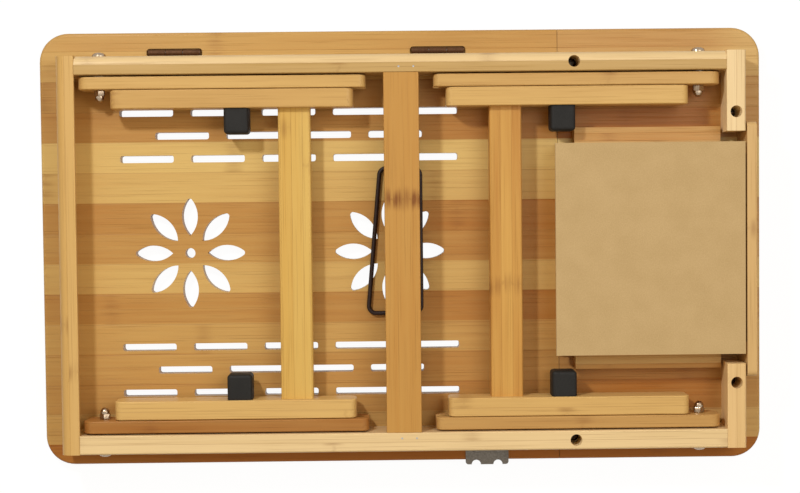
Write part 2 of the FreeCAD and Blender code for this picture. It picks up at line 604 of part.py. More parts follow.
def lock_spring(side, edge):
    """The coil between the pin's collar and the floor of its pocket."""
    label = "lock_spring_%s_%s_side" % (side, edge)
    length = "(spring_depth - collar_sink - collar_thick - 2 * spring_wire)"
    coil = doc.addObject("Part::Helix", label + "_coil")
    bind(coil, "Radius", "spring_radius")
    bind(coil, "Height", length)
    bind(coil, "Pitch", length + " / spring_turns")
    coil.SegmentLength = 1
    wire = doc.addObject("Part::Circle", label + "_wire")
    bind(wire, "Radius", "spring_wire")
    wire.Placement = Placement(Vector(), Rotation(Vector(1, 0, 0), 90))
    bind(wire, "Placement.Base.x", "spring_radius")
    item = doc.addObject("Part::Sweep", label)
    item.Sections = [wire]
    item.Spine = (coil, ["Edge%d" % (turn + 1) for turn in range(SIZES["spring_turns"])])
    item.Solid = True
    item.Frenet = True
    outward = 1 if edge == "hinge" else -1
    item.Placement = Placement(Vector(), Rotation(Vector(1, 0, 0), -90 * outward))
    sign = "+" if edge == "hinge" else "-"
    along = "+" if side == "left" else "-"
    place(item, "%s %s knob_x" % (PIVOTS[side], along),
          "%s %s (spring_wire - %s - spring_depth)" % (RAIL_INNER[edge], sign, SLIDE_FACE), PIVOT_Z)
    return item


# The drawer

def drawer_side(label, side):
    """A drawer side with the groove that rides on its runner."""
    item = new_body(label)
    drawing = new_sketch(item, "YZ_Plane", ("drawer_y", UNDER, DRAWER_BACK))
    outer = "%s * drawer_width / 2" % side
    inner = "%s * (drawer_width / 2 - drawer_wall)" % side
    floor = "%s * (drawer_width / 2 - rib_depth - rib_gap)" % side
    low = "runner_height - rib_height - rib_gap"
    high = "runner_height + rib_gap"
    top = "drawer_lift + drawer_side_height"
    outline(drawing, [(inner, "drawer_lift"), (outer, "drawer_lift"), (outer, low), (floor, low),
                      (floor, high), (outer, high), (outer, top), (inner, top)])
    pad(item, drawing, "%s - %s" % (DRAWER_FRONT_X, DRAWER_BACK))
    return item


def drawer_back():
    item = new_body("drawer_back")
    drawing = new_sketch(item, "YZ_Plane", ("drawer_y", UNDER, DRAWER_BACK))
    half = "drawer_width / 2 - drawer_wall"
    rectangle(drawing, "-(%s)" % half, half, "drawer_lift", "drawer_lift + drawer_side_height")
    pad(item, drawing, "drawer_wall")
    return item


def drawer_front():
    item = new_body("drawer_front")
    middle = UNDER + " + drawer_lift + front_height / 2"
    drawing = new_sketch(item, "YZ_Plane", ("frame_y", middle, DRAWER_FRONT_X))
    round_rectangle(drawing, "front_width", "front_height", "front_corner")
    pad(item, drawing, "front_thick")
    face = SIZES["frame_length"] / 2 + SIZES["front_gap"] + SIZES["front_thick"]
    round_edges(item, "edge_ease", lambda edge: level(edge, "x", face))
    return item


def drawer_bottom():
    item = new_body("drawer_bottom")
    drawing = new_sketch(item, "XY_Plane", (0, "drawer_y", UNDER + " + drawer_lift + drawer_side_height"))
    rectangle(drawing, "drawer_back_x", DRAWER_FRONT_X + " - drawer_board_short",
              "-drawer_width / 2", "drawer_width / 2")
    pad(item, drawing, "drawer_board")
    return item


# Hardware from turned and flat primitives

def rod(axis, radius, start, length, u, v):
    """A cylinder along +X, +Y or +Z; u and v are its places on the other two axes."""
    item = doc.addObject("Part::Cylinder", "Rod")
    turns = {"x": Rotation(Vector(0, 1, 0), 90), "y": Rotation(Vector(1, 0, 0), -90), "z": Rotation()}
    item.Placement = Placement(Vector(), turns[axis])
    bind(item, "Radius", radius)
    bind(item, "Height", length)
    place(item, *{"x": (start, u, v), "y": (u, start, v), "z": (u, v, start)}[axis])
    return item


def block(x0, x1, y0, y1, z0, z1):
    item = doc.addObject("Part::Box", "Block")
    for prop, low, high in (("Length", x0, x1), ("Width", y0, y1), ("Height", z0, z1)):
        bind(item, prop, "(%s) - (%s)" % (high, low))
    place(item, x0, y0, z0)
    return item


def cone(low_radius, high_radius, x, y, z, length):
    item = doc.addObject("Part::Cone", "Cone")
    bind(item, "Radius1", low_radius)
    bind(item, "Radius2", high_radius)
    bind(item, "Height", length)
    place(item, x, y, z)
    return item


def fused(items, label="Fused"):
    item = doc.addObject("Part::MultiFuse", label)
    item.Shapes = items
    return item


def less(base, tool, label="Cut"):
    item = doc.addObject("Part::Cut", label)
    item.Base = base
    item.Tool = tool
    return item


def shared(items):
    """The volume that several items have in common."""
    item = doc.addObject("Part::MultiCommon", "Shared")
    item.Shapes = items
    return item


def ball(radius, x, y, z):
    item = doc.addObject("Part::Sphere", "Ball")
    bind(item, "Radius", radius)
    place(item, x, y, z)
    return item


def group(label, items):
    item = doc.addObject("Part::Compound", label)
    item.Links = items
    return item


def leaf_screw(x, upward):
    """A countersunk screw whose head is flush with the closed leaves."""
    depth = "hinge_screw_length - leaf_thick"
    if upward:
        head = cone("2 * hinge_screw_radius", "hinge_screw_radius", x, LEAF_SCREW_Y, UNDER, "leaf_thick")
        shank = rod("z", "hinge_screw_radius", UNDER + " + leaf_thick", depth, x, LEAF_SCREW_Y)
    else:
        head = cone("hinge_screw_radius", "2 * hinge_screw_radius", x, LEAF_SCREW_Y,
                    UNDER + " - leaf_thick", "leaf_thick")
        shank = rod("z", "hinge_screw_radius", UNDER + " - hinge_screw_length", depth, x, LEAF_SCREW_Y)
    return head, shank


def hinge_leaf(hinge_x, upward):
    """One leaf with its share of the three knuckles, bored for the pin and sunk for its screws."""
    low, high = (UNDER, UNDER + " + leaf_thick") if upward else (UNDER + " - leaf_thick", UNDER)
    start_x = hinge_x + " - hinge_length / 2"
    end_x = hinge_x + " + hinge_length / 2"
    third = "hinge_length / 6 %s knuckle_gap / 2"
    edge = HINGE_AXIS + " - knuckle_radius - knuckle_gap"
    if upward:
        knuckles = [(start_x, hinge_x + " - " + third % "-"), (hinge_x + " + " + third % "+", end_x)]
    else:
        knuckles = [(hinge_x + " - " + third % "+", hinge_x + " + " + third % "-")]
    pieces = [block(start_x, end_x, HINGE_AXIS + " - leaf_width", edge, low, high)]
    for start, end in knuckles:
        pieces.append(block(start, end, edge, HINGE_AXIS, low, high))
        pieces.append(rod("x", "knuckle_radius", start, "(%s) - (%s)" % (end, start), HINGE_AXIS, UNDER))
    tools = [rod("x", "hinge_pin + bolt_fit", "%s - hinge_length" % hinge_x, "2 * hinge_length",
                 HINGE_AXIS, UNDER)]
    for side in "-+":
        tools += leaf_screw("%s %s hinge_screw_pitch / 2" % (hinge_x, side), upward)
    return less(fused(pieces), fused(tools))


def hinge_parts():
    made = []
    for upward, owner in ((True, "frame"), (False, "panel")):
        made.append(group("hinge_%s_leaves" % owner, [hinge_leaf(x, upward) for x in HINGES.values()]))
        screws = [fused(list(leaf_screw("%s %s hinge_screw_pitch / 2" % (x, side), upward)))
                  for x in HINGES.values() for side in "-+"]
        made.append(group("hinge_%s_screws" % owner, screws))
    made.append(group("hinge_pins", [rod("x", "hinge_pin", x + " - hinge_length / 2", "hinge_length",
                                         HINGE_AXIS, UNDER) for x in HINGES.values()]))
    return made


def round_screw(x, y, plate):
    """A low headed screw through a thin plate on the underside of the top."""
    head = rod("z", "2 * clip_screw", "%s + %s" % (UNDER, plate), "clip_screw", x, y)
    shank = rod("z", "clip_screw", UNDER + " - clip_screw_length", "clip_screw_length + " + plate, x, y)
    return fused([head, shank])


def lift_tab():
    """The scalloped plate under the free edge of the top."""
    item = new_body("lift_tab")
    edge = "-top_depth / 2 - tab_out"
    drawing = new_sketch(item, "XY_Plane", ("tab_x", edge + " + tab_depth / 2", UNDER))
    round_rectangle(drawing, "tab_width", "tab_depth", "tab_corner")
    pad(item, drawing, "tab_thick")
    for side in "-+":
        x = "tab_x %s tab_notch_pitch / 2" % side
        cut_disc(item, "XY_Plane", (x, edge, UNDER), "tab_notch", "tab_thick", back=True)
        cut_disc(item, "XY_Plane", ("tab_x %s tab_screw_pitch / 2" % side, TAB_SCREW_Y, UNDER),
                 "clip_screw", "tab_thick", back=True)
    return item


def bail_clip(x):
    """A strap clip that lets the turned-in end of the bail rotate."""
    half = "clip_span / 2"
    low, high = "%s - clip_width / 2" % x, "%s + clip_width / 2" % x
    axis_z = UNDER + " + bail_rise"
    saddle = rod("x", "bail_wire + bolt_fit + clip_strap", low, "clip_width", "bail_pivot_y", axis_z)
    flange = block(low, high, "bail_pivot_y - " + half, "bail_pivot_y + " + half,
                   UNDER, UNDER + " + clip_strap")
    below = block(low, high, "bail_pivot_y - " + half, "bail_pivot_y + " + half, "0", UNDER)
    bore = rod("x", "bail_wire + bolt_fit", low, "clip_width", "bail_pivot_y", axis_z)
    holes = [rod("z", "clip_screw", UNDER, "clip_strap", x, "bail_pivot_y %s %s" % (side, CLIP_SCREW_Y))
             for side in "-+"]
    return less(fused([saddle, flange]), fused([below, bore] + holes))


def bent_wire(corners, radius):
    """A wire through the corners, each inner one rounded to the bend radius."""
    edges = []
    last = corners[0]
    for before, corner, after in zip(corners, corners[1:], corners[2:]):
        come = (before - corner).normalize()
        leave = (after - corner).normalize()
        half = come.getAngle(leave) / 2
        start = corner + come * (radius / math.tan(half))
        end = corner + leave * (radius / math.tan(half))
        centre = corner + (come + leave).normalize() * (radius / math.sin(half))
        crown = centre + (corner - centre).normalize() * radius
        edges += [Part.LineSegment(last, start).toShape(), Part.Arc(start, crown, end).toShape()]
        last = end
    edges.append(Part.LineSegment(last, corners[-1]).toShape())
    return Part.Wire(edges)


def prop_bail():
    """The bent bail that props the tilted top, swept along its own centre line."""
    z = sheet.top_thick + sheet.bail_rise
    far = sheet.bail_pivot_y
    foot = far - sheet.bail_length
    corners = [Vector(sheet.bail_left + sheet.bail_turn_in, far, z), Vector(sheet.bail_left, far, z),
               Vector(sheet.bail_left_foot, foot, z), Vector(sheet.bail_right, foot, z),
               Vector(sheet.bail_right, far, z), Vector(sheet.bail_right - sheet.bail_turn_in, far, z)]
    path = bent_wire(corners, sheet.bail_corner)
    section = Part.Wire(Part.makeCircle(sheet.bail_wire, corners[0], Vector(1, 0, 0)))
    item = doc.addObject("Part::Feature", "prop_bail")
    item.Shape = path.makePipeShell([section], True, False)
    return item


def pivot_rod(edge, pivot, radius, out, length):
    """A rod on a pivot's axis, whose outer end lies some way outside the rail's inner face."""
    if edge == "hinge":
        start = "%s + (%s) - (%s)" % (RAIL_INNER[edge], out, length)
    else:
        start = "%s - (%s)" % (RAIL_INNER[edge], out)
    return rod("y", radius, start, length, pivot, PIVOT_Z)


def pivot_hardware():
    """A bolt, a washer and a domed nut at each of the four pivots."""
    bolts, washers, nuts = [], [], []
    grip = "(leg_width + washer_thick)"
    for edge, sign in SIGNS.items():
        for pivot in PIVOTS.values():
            drum = pivot_rod(edge, pivot, "bolt_head", "rail_width + bolt_head_height", "bolt_head_height")
            crown = ball("bolt_dome", pivot, "%s + %s * (rail_width + bolt_head_height - bolt_dome)"
                         % (RAIL_INNER[edge], sign), PIVOT_Z)
            head = shared([drum, crown])
            shank = pivot_rod(edge, pivot, "bolt_radius", "rail_width", "rail_width + nut_height + " + grip)
            bolts.append(fused([head, shank]))
            ring = pivot_rod(edge, pivot, "washer_radius", "0", "washer_thick")
            bore = pivot_rod(edge, pivot, "bolt_radius + bolt_fit", "0", "washer_thick")
            washers.append(less(ring, bore))
            seat = pivot_rod(edge, pivot, "nut_radius", "-" + grip, "nut_height")
            dome = ball("dome_radius", pivot, "%s - %s * (%s + nut_height)"
                        % (RAIL_INNER[edge], sign, grip), PIVOT_Z)
            thread = pivot_rod(edge, pivot, "bolt_radius", "dome_radius - " + grip,
                               "dome_radius + nut_height")
            nuts.append(less(fused([seat, dome]), thread))
    return [group("pivot_bolts", bolts), group("pivot_washers", washers), group("pivot_nuts", nuts)]


def frame_fasteners():
    dowels = [rod("x", "dowel_radius", "%s * (frame_length / 2 - rail_width) - dowel_length / 2" % end,
                  "dowel_length", middle, height)
              for end in SIGNS.values() for middle in RAIL_MIDDLE.values() for height in DOWEL_HEIGHTS]
    brads = [rod("z", "brad_radius", NEAR + " - brad_sink - brad_length", "brad_length",
                 "brad_x %s brad_pitch / 2" % side, y) for y in BRAD_Y.values() for side in "-+"]
    screws = []
    for x, y in SCREW_SPOTS:
        seat = NEAR + " - sink_depth"
        screws.append(fused([rod("z", "screw_head", seat, "screw_head_height", x, y),
                             rod("z", "screw_radius", UNDER + " - screw_bite",
                                 "screw_bite + rail_height - sink_depth", x, y)]))
    return [group("frame_dowels", dowels), group("centre_brads", brads), group("panel_screws", screws)]


# All the pieces of the table
pieces = [tilt_panel(), fixed_panel(), end_rail(), centre_rail(), drawer_back(), drawer_front(),
          drawer_bottom(), lift_tab(), prop_bail()]
pieces.append(long_rail("rail_hinge_side", HINGE_OUT, HINGE_IN,
                        SIZES["frame_y"] + SIZES["frame_depth"] / 2, RAIL_MIDDLE["hinge"], True))
pieces.append(long_rail("rail_free_side", FREE_OUT, FREE_IN,
                        SIZES["frame_y"] - SIZES["frame_depth"] / 2, RAIL_MIDDLE["free"], False))
pieces.append(end_block("end_block_hinge_side", HINGE_OUT, "block_hinge", HINGE_IN,
                        RAIL_MIDDLE["hinge"], "block_screw_hinge"))
pieces.append(end_block("end_block_free_side", FREE_OUT + " + block_free", "block_free",
                        FREE_OUT + " + block_free", RAIL_MIDDLE["free"], "block_screw_free"))
for edge, sign in SIGNS.items():
    pieces.append(runner("runner_%s_side" % edge, sign))
    pieces.append(drawer_side("drawer_side_%s_side" % edge, sign))
for side in PIVOTS:
    pieces.append(crossbar(side))
    for edge in RAIL_INNER:
        pieces += [make(side, edge) for make in (upper_leg, lower_leg, lock_knob, lock_pin, lock_spring)]
pieces += hinge_parts() + pivot_hardware() + frame_fasteners()
tab_screws = [round_screw("tab_x %s tab_screw_pitch / 2" % side, TAB_SCREW_Y, "tab_thick")
              for side in "-+"]
clip_screws = [round_screw(x, "bail_pivot_y %s %s" % (side, CLIP_SCREW_Y), "clip_strap")
               for x in CLIPS for side in "-+"]
pieces.append(group("lift_tab_screws", tab_screws))
pieces.append(group("bail_clips", [bail_clip(x) for x in CLIPS]))
pieces.append(group("bail_clip_screws", clip_screws))
doc.recompute()

# Every feature must have computed, and every piece must be sound, before anything is written
troubled = [item.Name for item in doc.Objects if "Invalid" in item.State or "Error" in item.State]
if troubled:
    raise RuntimeError("not computed: " + ", ".join(troubled))
unsound = [piece.Label for piece in pieces if piece.Shape.isNull() or not piece.Shape.isValid()]
if unsound:
    raise RuntimeError("not sound: " + ", ".join(unsound))

os.makedirs("parts", exist_ok=True)
for piece in pieces:
    piece.Shape.exportStep("parts/%s.step" % piece.Label)
    box = piece.Shape.BoundBox
    print("%-34s %2d solids  x %7.1f %7.1f  y %7.1f %7.1f  z %6.1f %6.1f" % (
        piece.Label, len(piece.Shape.Solids), box.XMin, box.XMax, box.YMin, box.YMax, box.ZMin, box.ZMax))
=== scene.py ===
# %% [markdown]
# # A folding laptop table, looked at from below
# The table lies face down with its legs folded. A CAD model gives every piece its shape and its
# place, and this lesson gives the pieces their looks: bamboo, pressed board, black plastic and
# small hardware.

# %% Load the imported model
import math

import bmesh
import bpy
from mathutils import Matrix, Vector


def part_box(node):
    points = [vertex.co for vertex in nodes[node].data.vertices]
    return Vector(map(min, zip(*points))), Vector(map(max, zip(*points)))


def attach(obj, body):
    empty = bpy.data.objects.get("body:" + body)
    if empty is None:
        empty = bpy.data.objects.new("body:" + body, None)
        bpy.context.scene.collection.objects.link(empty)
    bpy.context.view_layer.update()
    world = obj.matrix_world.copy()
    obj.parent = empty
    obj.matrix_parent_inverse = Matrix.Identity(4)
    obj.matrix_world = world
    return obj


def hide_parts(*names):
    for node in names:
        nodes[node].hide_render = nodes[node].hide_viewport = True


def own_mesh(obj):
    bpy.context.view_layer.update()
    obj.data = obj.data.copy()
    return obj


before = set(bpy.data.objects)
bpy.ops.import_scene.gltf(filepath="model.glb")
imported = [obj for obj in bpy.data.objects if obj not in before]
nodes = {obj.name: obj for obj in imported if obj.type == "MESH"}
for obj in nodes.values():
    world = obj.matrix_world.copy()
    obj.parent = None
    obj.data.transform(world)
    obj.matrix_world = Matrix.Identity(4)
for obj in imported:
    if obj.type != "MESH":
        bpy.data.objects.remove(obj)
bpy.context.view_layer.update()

# %% [markdown]
# ## Helpers for shader trees
# A shader tree is a net of small nodes. Written out in full, each node takes several lines, and the
# recipe is lost among them. These helpers add one node each and hand back its output, so that a
# recipe reads like a formula. The first of them, plug, sets one input or links it.

# %% Numbers, colours and soft steps
MIX_AMOUNT, MIX_FIRST, MIX_SECOND, MIX_RESULT = 0, 6, 7, 2    # the colour sockets of a Mix node


def plug(tree, value, socket):
    """Link an output to an input, or write a plain value into it."""
    if isinstance(value, bpy.types.NodeSocket):
        tree.links.new(value, socket)
    else:
        socket.default_value = value


def calc(tree, operation, *values, clamp=False):
    node = tree.nodes.new("ShaderNodeMath")
    node.operation = operation
    node.use_clamp = clamp
    for value, socket in zip(values, node.inputs):
        plug(tree, value, socket)
    return node.outputs["Value"]


def tint(tree, amount, first, second, mode="MIX"):
    """Mix two colours. A Mix node has several sockets of each name, so they go by number."""
    node = tree.nodes.new("ShaderNodeMix")
    node.data_type = "RGBA"
    node.blend_type = mode
    plug(tree, amount, node.inputs[MIX_AMOUNT])
    plug(tree, first, node.inputs[MIX_FIRST])
    plug(tree, second, node.inputs[MIX_SECOND])
    return node.outputs[MIX_RESULT]


def fade(tree, value, start, end):
    """A soft step from 0 at start to 1 at end."""
    node = tree.nodes.new("ShaderNodeMapRange")
    node.interpolation_type = "SMOOTHSTEP"
    plug(tree, value, node.inputs["Value"])
    plug(tree, start, node.inputs["From Min"])
    plug(tree, end, node.inputs["From Max"])
    return node.outputs["Result"]


def near(tree, distance, reach):
    """1 at no distance, and softly less until it is 0 at the reach."""
    return calc(tree, "SUBTRACT", 1.0, fade(tree, distance, 0.0, reach))


def swing(tree, value, amount):
    """Turn a value between 0 and 1 into a swing about zero that is amount wide."""
    return calc(tree, "MULTIPLY", calc(tree, "SUBTRACT", value, 0.5), amount)


# %% Vectors and noise


def triple(tree, x, y, z):
    node = tree.nodes.new("ShaderNodeCombineXYZ")
    for value, socket in zip((x, y, z), node.inputs):
        plug(tree, value, socket)
    return node.outputs["Vector"]


def parts_of(tree, vector):
    node = tree.nodes.new("ShaderNodeSeparateXYZ")
    plug(tree, vector, node.inputs["Vector"])
    return node.outputs["X"], node.outputs["Y"], node.outputs["Z"]


def stretched(tree, parts, rates):
    """A vector of three parts, each multiplied by a rate of its own."""
    return triple(tree, *(calc(tree, "MULTIPLY", part, rate) for part, rate in zip(parts, rates)))


def noise(tree, vector, detail=2.0):
    node = tree.nodes.new("ShaderNodeTexNoise")
    plug(tree, vector, node.inputs["Vector"])
    node.inputs["Scale"].default_value = 1.0
    node.inputs["Detail"].default_value = detail
    return node.outputs["Fac"]


# %% Groups with named sockets
KINDS = {"vector": "NodeSocketVector", "value": "NodeSocketFloat", "colour": "NodeSocketColor"}


def new_group(name, inputs, outputs):
    tree = bpy.data.node_groups.new(name, "ShaderNodeTree")
    for direction, sockets in (("INPUT", inputs), ("OUTPUT", outputs)):
        for label, kind in sockets.items():
            tree.interface.new_socket(label, in_out=direction, socket_type=KINDS[kind])
    given = tree.nodes.new("NodeGroupInput").outputs
    result = tree.nodes.new("NodeGroupOutput").inputs
    return tree, given, result


def use_group(tree, group, **values):
    """Place a group in a material; a socket named Strip width is given as strip_width."""
    node = tree.nodes.new("ShaderNodeGroup")
    node.node_tree = group
    for label, value in values.items():
        plug(tree, value, node.inputs[label.replace("_", " ").capitalize()])
    return node.outputs


print("kinds of group socket:", ", ".join(KINDS))

# %% [markdown]
# ## Bamboo
# Bamboo board is glued up from split strips. Each strip has its own tone, fine dark fibres along
# its length, and every hand or so a knuckle: a darker, slightly wavy band across the strip where
# the cane had a joint. A picture of bamboo could be wrapped round each piece, but the pieces would
# have to be unwrapped, and it would smear at their ends. One node group makes the wood instead,
# from a grain vector whose x runs along the strips, y across them and z into the board, so that one
# recipe serves every bar, whichever way it runs.

# %% Strips


def strip_at(tree, across, width, seed):
    """A place in strip widths, the number of the strip there, and two chances of that strip."""
    place = calc(tree, "DIVIDE", across, width)
    number = calc(tree, "FLOOR", place)
    dice = tree.nodes.new("ShaderNodeTexWhiteNoise")
    dice.noise_dimensions = "2D"
    plug(tree, triple(tree, number, seed, 0.0), dice.inputs["Vector"])
    chance, shift, _ = parts_of(tree, dice.outputs["Color"])
    return place, number, chance, shift


# %% Knuckles
KNUCKLE_GAP = 0.27                 # metres from one knuckle of a strip to the next
KNUCKLE_HALF = 0.0095              # metres from the middle of a knuckle to its faint edge
KNUCKLE_CORE = KNUCKLE_HALF / 4
CORE_WEIGHT = 0.4
KNUCKLE_STREAKS = (0.3, 0.68)      # the streaks that a knuckle darkens, from none to full
KNUCKLE_WAVE = 0.006               # metres that a knuckle wanders along its strip
WAVE_RATES = (60.0, 240.0, 1.0)    # noise cells per metre along and across, and per strip


def knuckle_mask(tree, given, parts, shift, streak):
    """How dark a knuckle is at a place along, across and in a strip of this number."""
    along, _, _ = parts
    wave = noise(tree, stretched(tree, parts, WAVE_RATES))
    bent = calc(tree, "ADD", along, swing(tree, wave, KNUCKLE_WAVE))
    start = calc(tree, "ADD", given["Knuckle at"], swing(tree, shift, given["Scatter"]))
    away = calc(tree, "PINGPONG", calc(tree, "SUBTRACT", bent, start), KNUCKLE_GAP / 2)
    core = calc(tree, "MULTIPLY", near(tree, away, KNUCKLE_CORE), CORE_WEIGHT)
    streaky = fade(tree, streak, *KNUCKLE_STREAKS)
    spread = calc(tree, "MULTIPLY", near(tree, away, KNUCKLE_HALF), streaky)
    darkest = calc(tree, "MAXIMUM", core, spread)
    return calc(tree, "MULTIPLY", darkest, given["Knuckles"], clamp=True)


# %% The bamboo group
CLOUD_RATES = (9.0, 45.0, 1.0)          # noise cells per metre along and across, and per strip
STREAK_RATES = (7.0, 330.0, 330.0)      # noise cells per metre along, across and into the board
FIBRE_RATES = (14.0, 1900.0, 1900.0)
FIBRE_EDGES = (0.56, 0.74)              # the noise levels at which a dark fibre starts and is full
FIBRE_BROWN = (0.40, 0.20, 0.07, 1)
FIBRE_DEPTH = 0.24
KNUCKLE_RED = (0.25, 0.095, 0.024, 1)
JOINT_HALF = 0.00035                    # metres from a glue line to the edge of its shade
JOINT_DEPTH = 0.25
WOOD_ROUGH = 0.40
FIBRE_ROUGH = 0.2                       # how much rougher a dark fibre is
RELIEF = 0.5


def make_bamboo():
    tree, given, result = new_group(
        "bamboo strips",
        {"Grain": "vector", "Strip width": "value", "Pale": "colour", "Toasted": "colour",
         "Contrast": "value", "Streaks": "value", "Laid tone": "value", "Laid": "value",
         "Knuckles": "value", "Knuckle at": "value", "Scatter": "value", "Seed": "value"},
        {"Colour": "colour", "Roughness": "value", "Height": "value"})
    along, across, deep = parts_of(tree, given["Grain"])
    width, seed = given["Strip width"], given["Seed"]
    place, number, chance, shift = strip_at(tree, across, width, seed)
    tone = tint(tree, given["Laid"], chance, given["Laid tone"])

    own = calc(tree, "ADD", number, seed)
    cloud = noise(tree, stretched(tree, (along, across, own), CLOUD_RATES))
    streak = noise(tree, stretched(tree, (along, across, deep), STREAK_RATES), detail=4.0)
    mood = swing(tree, tone, given["Contrast"])
    drift = swing(tree, cloud, given["Streaks"])
    lines = swing(tree, streak, given["Streaks"])
    mixed = calc(tree, "ADD", calc(tree, "ADD", mood, drift), lines)
    toasting = calc(tree, "ADD", mixed, 0.5, clamp=True)
    colour = tint(tree, toasting, given["Pale"], given["Toasted"])

    fibre = noise(tree, stretched(tree, (along, across, deep), FIBRE_RATES))
    dark_fibre = fade(tree, fibre, *FIBRE_EDGES)
    fibre_shade = calc(tree, "MULTIPLY", dark_fibre, FIBRE_DEPTH)
    colour = tint(tree, fibre_shade, colour, FIBRE_BROWN, "MULTIPLY")

    knuckle = knuckle_mask(tree, given, (along, across, number), shift, streak)
    colour = tint(tree, knuckle, colour, KNUCKLE_RED)

    edge = calc(tree, "MULTIPLY", calc(tree, "PINGPONG", place, 0.5), width)
    joint = near(tree, edge, JOINT_HALF)
    joint_shade = calc(tree, "MULTIPLY", joint, JOINT_DEPTH)
    colour = tint(tree, joint_shade, colour, FIBRE_BROWN, "MULTIPLY")

    plug(tree, colour, result["Colour"])
    rougher = calc(tree, "MULTIPLY", dark_fibre, FIBRE_ROUGH)
    plug(tree, calc(tree, "ADD", WOOD_ROUGH, rougher), result["Roughness"])
    raised = calc(tree, "SUBTRACT", knuckle, calc(tree, "ADD", dark_fibre, joint))
    plug(tree, calc(tree, "MULTIPLY", raised, RELIEF), result["Height"])
    return tree


bamboo = make_bamboo()
print("bamboo group:", len(bamboo.nodes), "nodes")

# %% [markdown]
# ## A material for each kind of board
# The boards come from different canes: the rails are creamy, the top is laid from pale and toasted
# strips, and the bars lie between. Some boards also hold painted light and painted shade, noted
# where their tones are set. A tree of nodes for each would be long, so the group is placed once in
# each material, with that board's own strip width, tones and seed. The lacquer is a thin clear coat
# over the wood. It is even all over, so it is set on the shader itself.

# %% What every material starts with


def new_material(name):
    material = bpy.data.materials.new(name)
    material.use_nodes = True
    tree = material.node_tree
    return material, tree, tree.nodes["Principled BSDF"]


def bump(tree, height, depth, shader):
    node = tree.nodes.new("ShaderNodeBump")
    node.inputs["Distance"].default_value = depth
    plug(tree, height, node.inputs["Height"])
    plug(tree, node.outputs["Normal"], shader.inputs["Normal"])


def object_place(tree):
    return tree.nodes.new("ShaderNodeTexCoord").outputs["Object"]


# %% Strips in a set order


def laid_order(tree, across, first, strip, tones):
    """The tones of strips laid side by side from a first edge; 0 is pale and 1 is toasted."""
    ramp = tree.nodes.new("ShaderNodeValToRGB")
    bands = ramp.color_ramp
    bands.interpolation = "CONSTANT"
    while len(bands.elements) < len(tones):
        bands.elements.new(1.0)
    for number, (band, tone) in enumerate(zip(bands.elements, tones)):
        band.position = number / len(tones)
        band.color = (tone, tone, tone, 1)
    share = calc(tree, "DIVIDE", calc(tree, "SUBTRACT", across, first), strip * len(tones))
    plug(tree, share, ramp.inputs["Fac"])
    return ramp.outputs["Color"]


# %% One bamboo board
RUNS = {"x": (0, 1, 2), "y": (1, 0, 2)}    # the axes along, across and into a board
DEEPENS = (-0.04, 0.06)                    # metres along it over which darker strips deepen
GRAIN_DEPTH = 0.0002
WOOD_SHINE = 0.18
COAT_WEIGHT = 0.08
COAT_ROUGH = 0.3


def bamboo_board(name, run, pale, toasted, strip, seed, first=0.0, tones=(), contrast=0.8,
                 streaks=0.5, deepen=0.0, deepens=DEEPENS, knuckles=0.4, at=0.0, scatter=0.3):
    """A lacquered board of strips along x or y. Without tones, each strip gets one by chance."""
    material, tree, shader = new_material(name)
    spots = parts_of(tree, object_place(tree))
    x, y, z = (spots[number] for number in RUNS[run])
    grain = triple(tree, x, calc(tree, "SUBTRACT", y, first), z)
    laid_tone = laid_order(tree, y, first, strip, tones) if tones else 0.0
    # Darker strips deepen along x over the span deepens. On the fixed part of the top this is
    # painted shade inside the frame.
    if deepen:
        further = calc(tree, "MULTIPLY", fade(tree, x, *deepens), deepen)
        laid_tone = calc(tree, "ADD", laid_tone, calc(tree, "MULTIPLY", further, laid_tone))
    made = use_group(tree, bamboo, grain=grain, strip_width=strip, seed=seed,
                     pale=(*pale, 1), toasted=(*toasted, 1), contrast=contrast, streaks=streaks,
                     laid_tone=laid_tone, laid=1.0 if tones else 0.0,
                     knuckles=knuckles, knuckle_at=at, scatter=scatter)
    plug(tree, made["Colour"], shader.inputs["Base Color"])
    plug(tree, made["Roughness"], shader.inputs["Roughness"])
    shader.inputs["Specular IOR Level"].default_value = WOOD_SHINE
    shader.inputs["Coat Weight"].default_value = COAT_WEIGHT
    shader.inputs["Coat Roughness"].default_value = COAT_ROUGH
    bump(tree, made["Height"], GRAIN_DEPTH, shader)
    return material


# %% Boards of the top
PALE = (0.71, 0.495, 0.178)
TOAST = (0.40, 0.148, 0.024)
# The first strip, along the free edge, is fully toasted: partly its own tone, partly painted shade
# where the free rail shades the border.
TOP_ORDER = (1.0, 0.4, 0.62, 0.56, 0.42, 0.65, 0.25, 0.57, 0.66, 0.17, 0.0, 0.64, 0.58, 0.36, 0.42)
# Painted shade: the fixed part of the top is darker inside the frame, where the frame's walls shade
# it. Its paler base is painted light for its border outside the frame.
FRAME_SHADE_SPAN = (0.242, 0.205)    # where the fixed part deepens: it is paler outside the frame

top_strips = dict(toasted=TOAST, strip=0.0211, first=-0.1582, tones=TOP_ORDER, contrast=1.0,
                  streaks=0.3, knuckles=0.35)
top_board = bamboo_board("top bamboo", "x", pale=PALE, deepen=0.3, seed=3.0, **top_strips)
# The fixed part: painted shade inside the frame, and a paler base as painted light on its border.
fixed_board = bamboo_board("fixed top bamboo", "x", pale=(0.78, 0.58, 0.245), deepen=0.5,
                           deepens=FRAME_SHADE_SPAN, seed=4.0, **top_strips)
print("strips in the top:", len(TOP_ORDER))

# %% Rails and end blocks
CREAM = (0.85, 0.65, 0.365)
STRAW = (0.53, 0.345, 0.125)

rail_strips = dict(strip=0.0065, contrast=1.0, streaks=0.35)
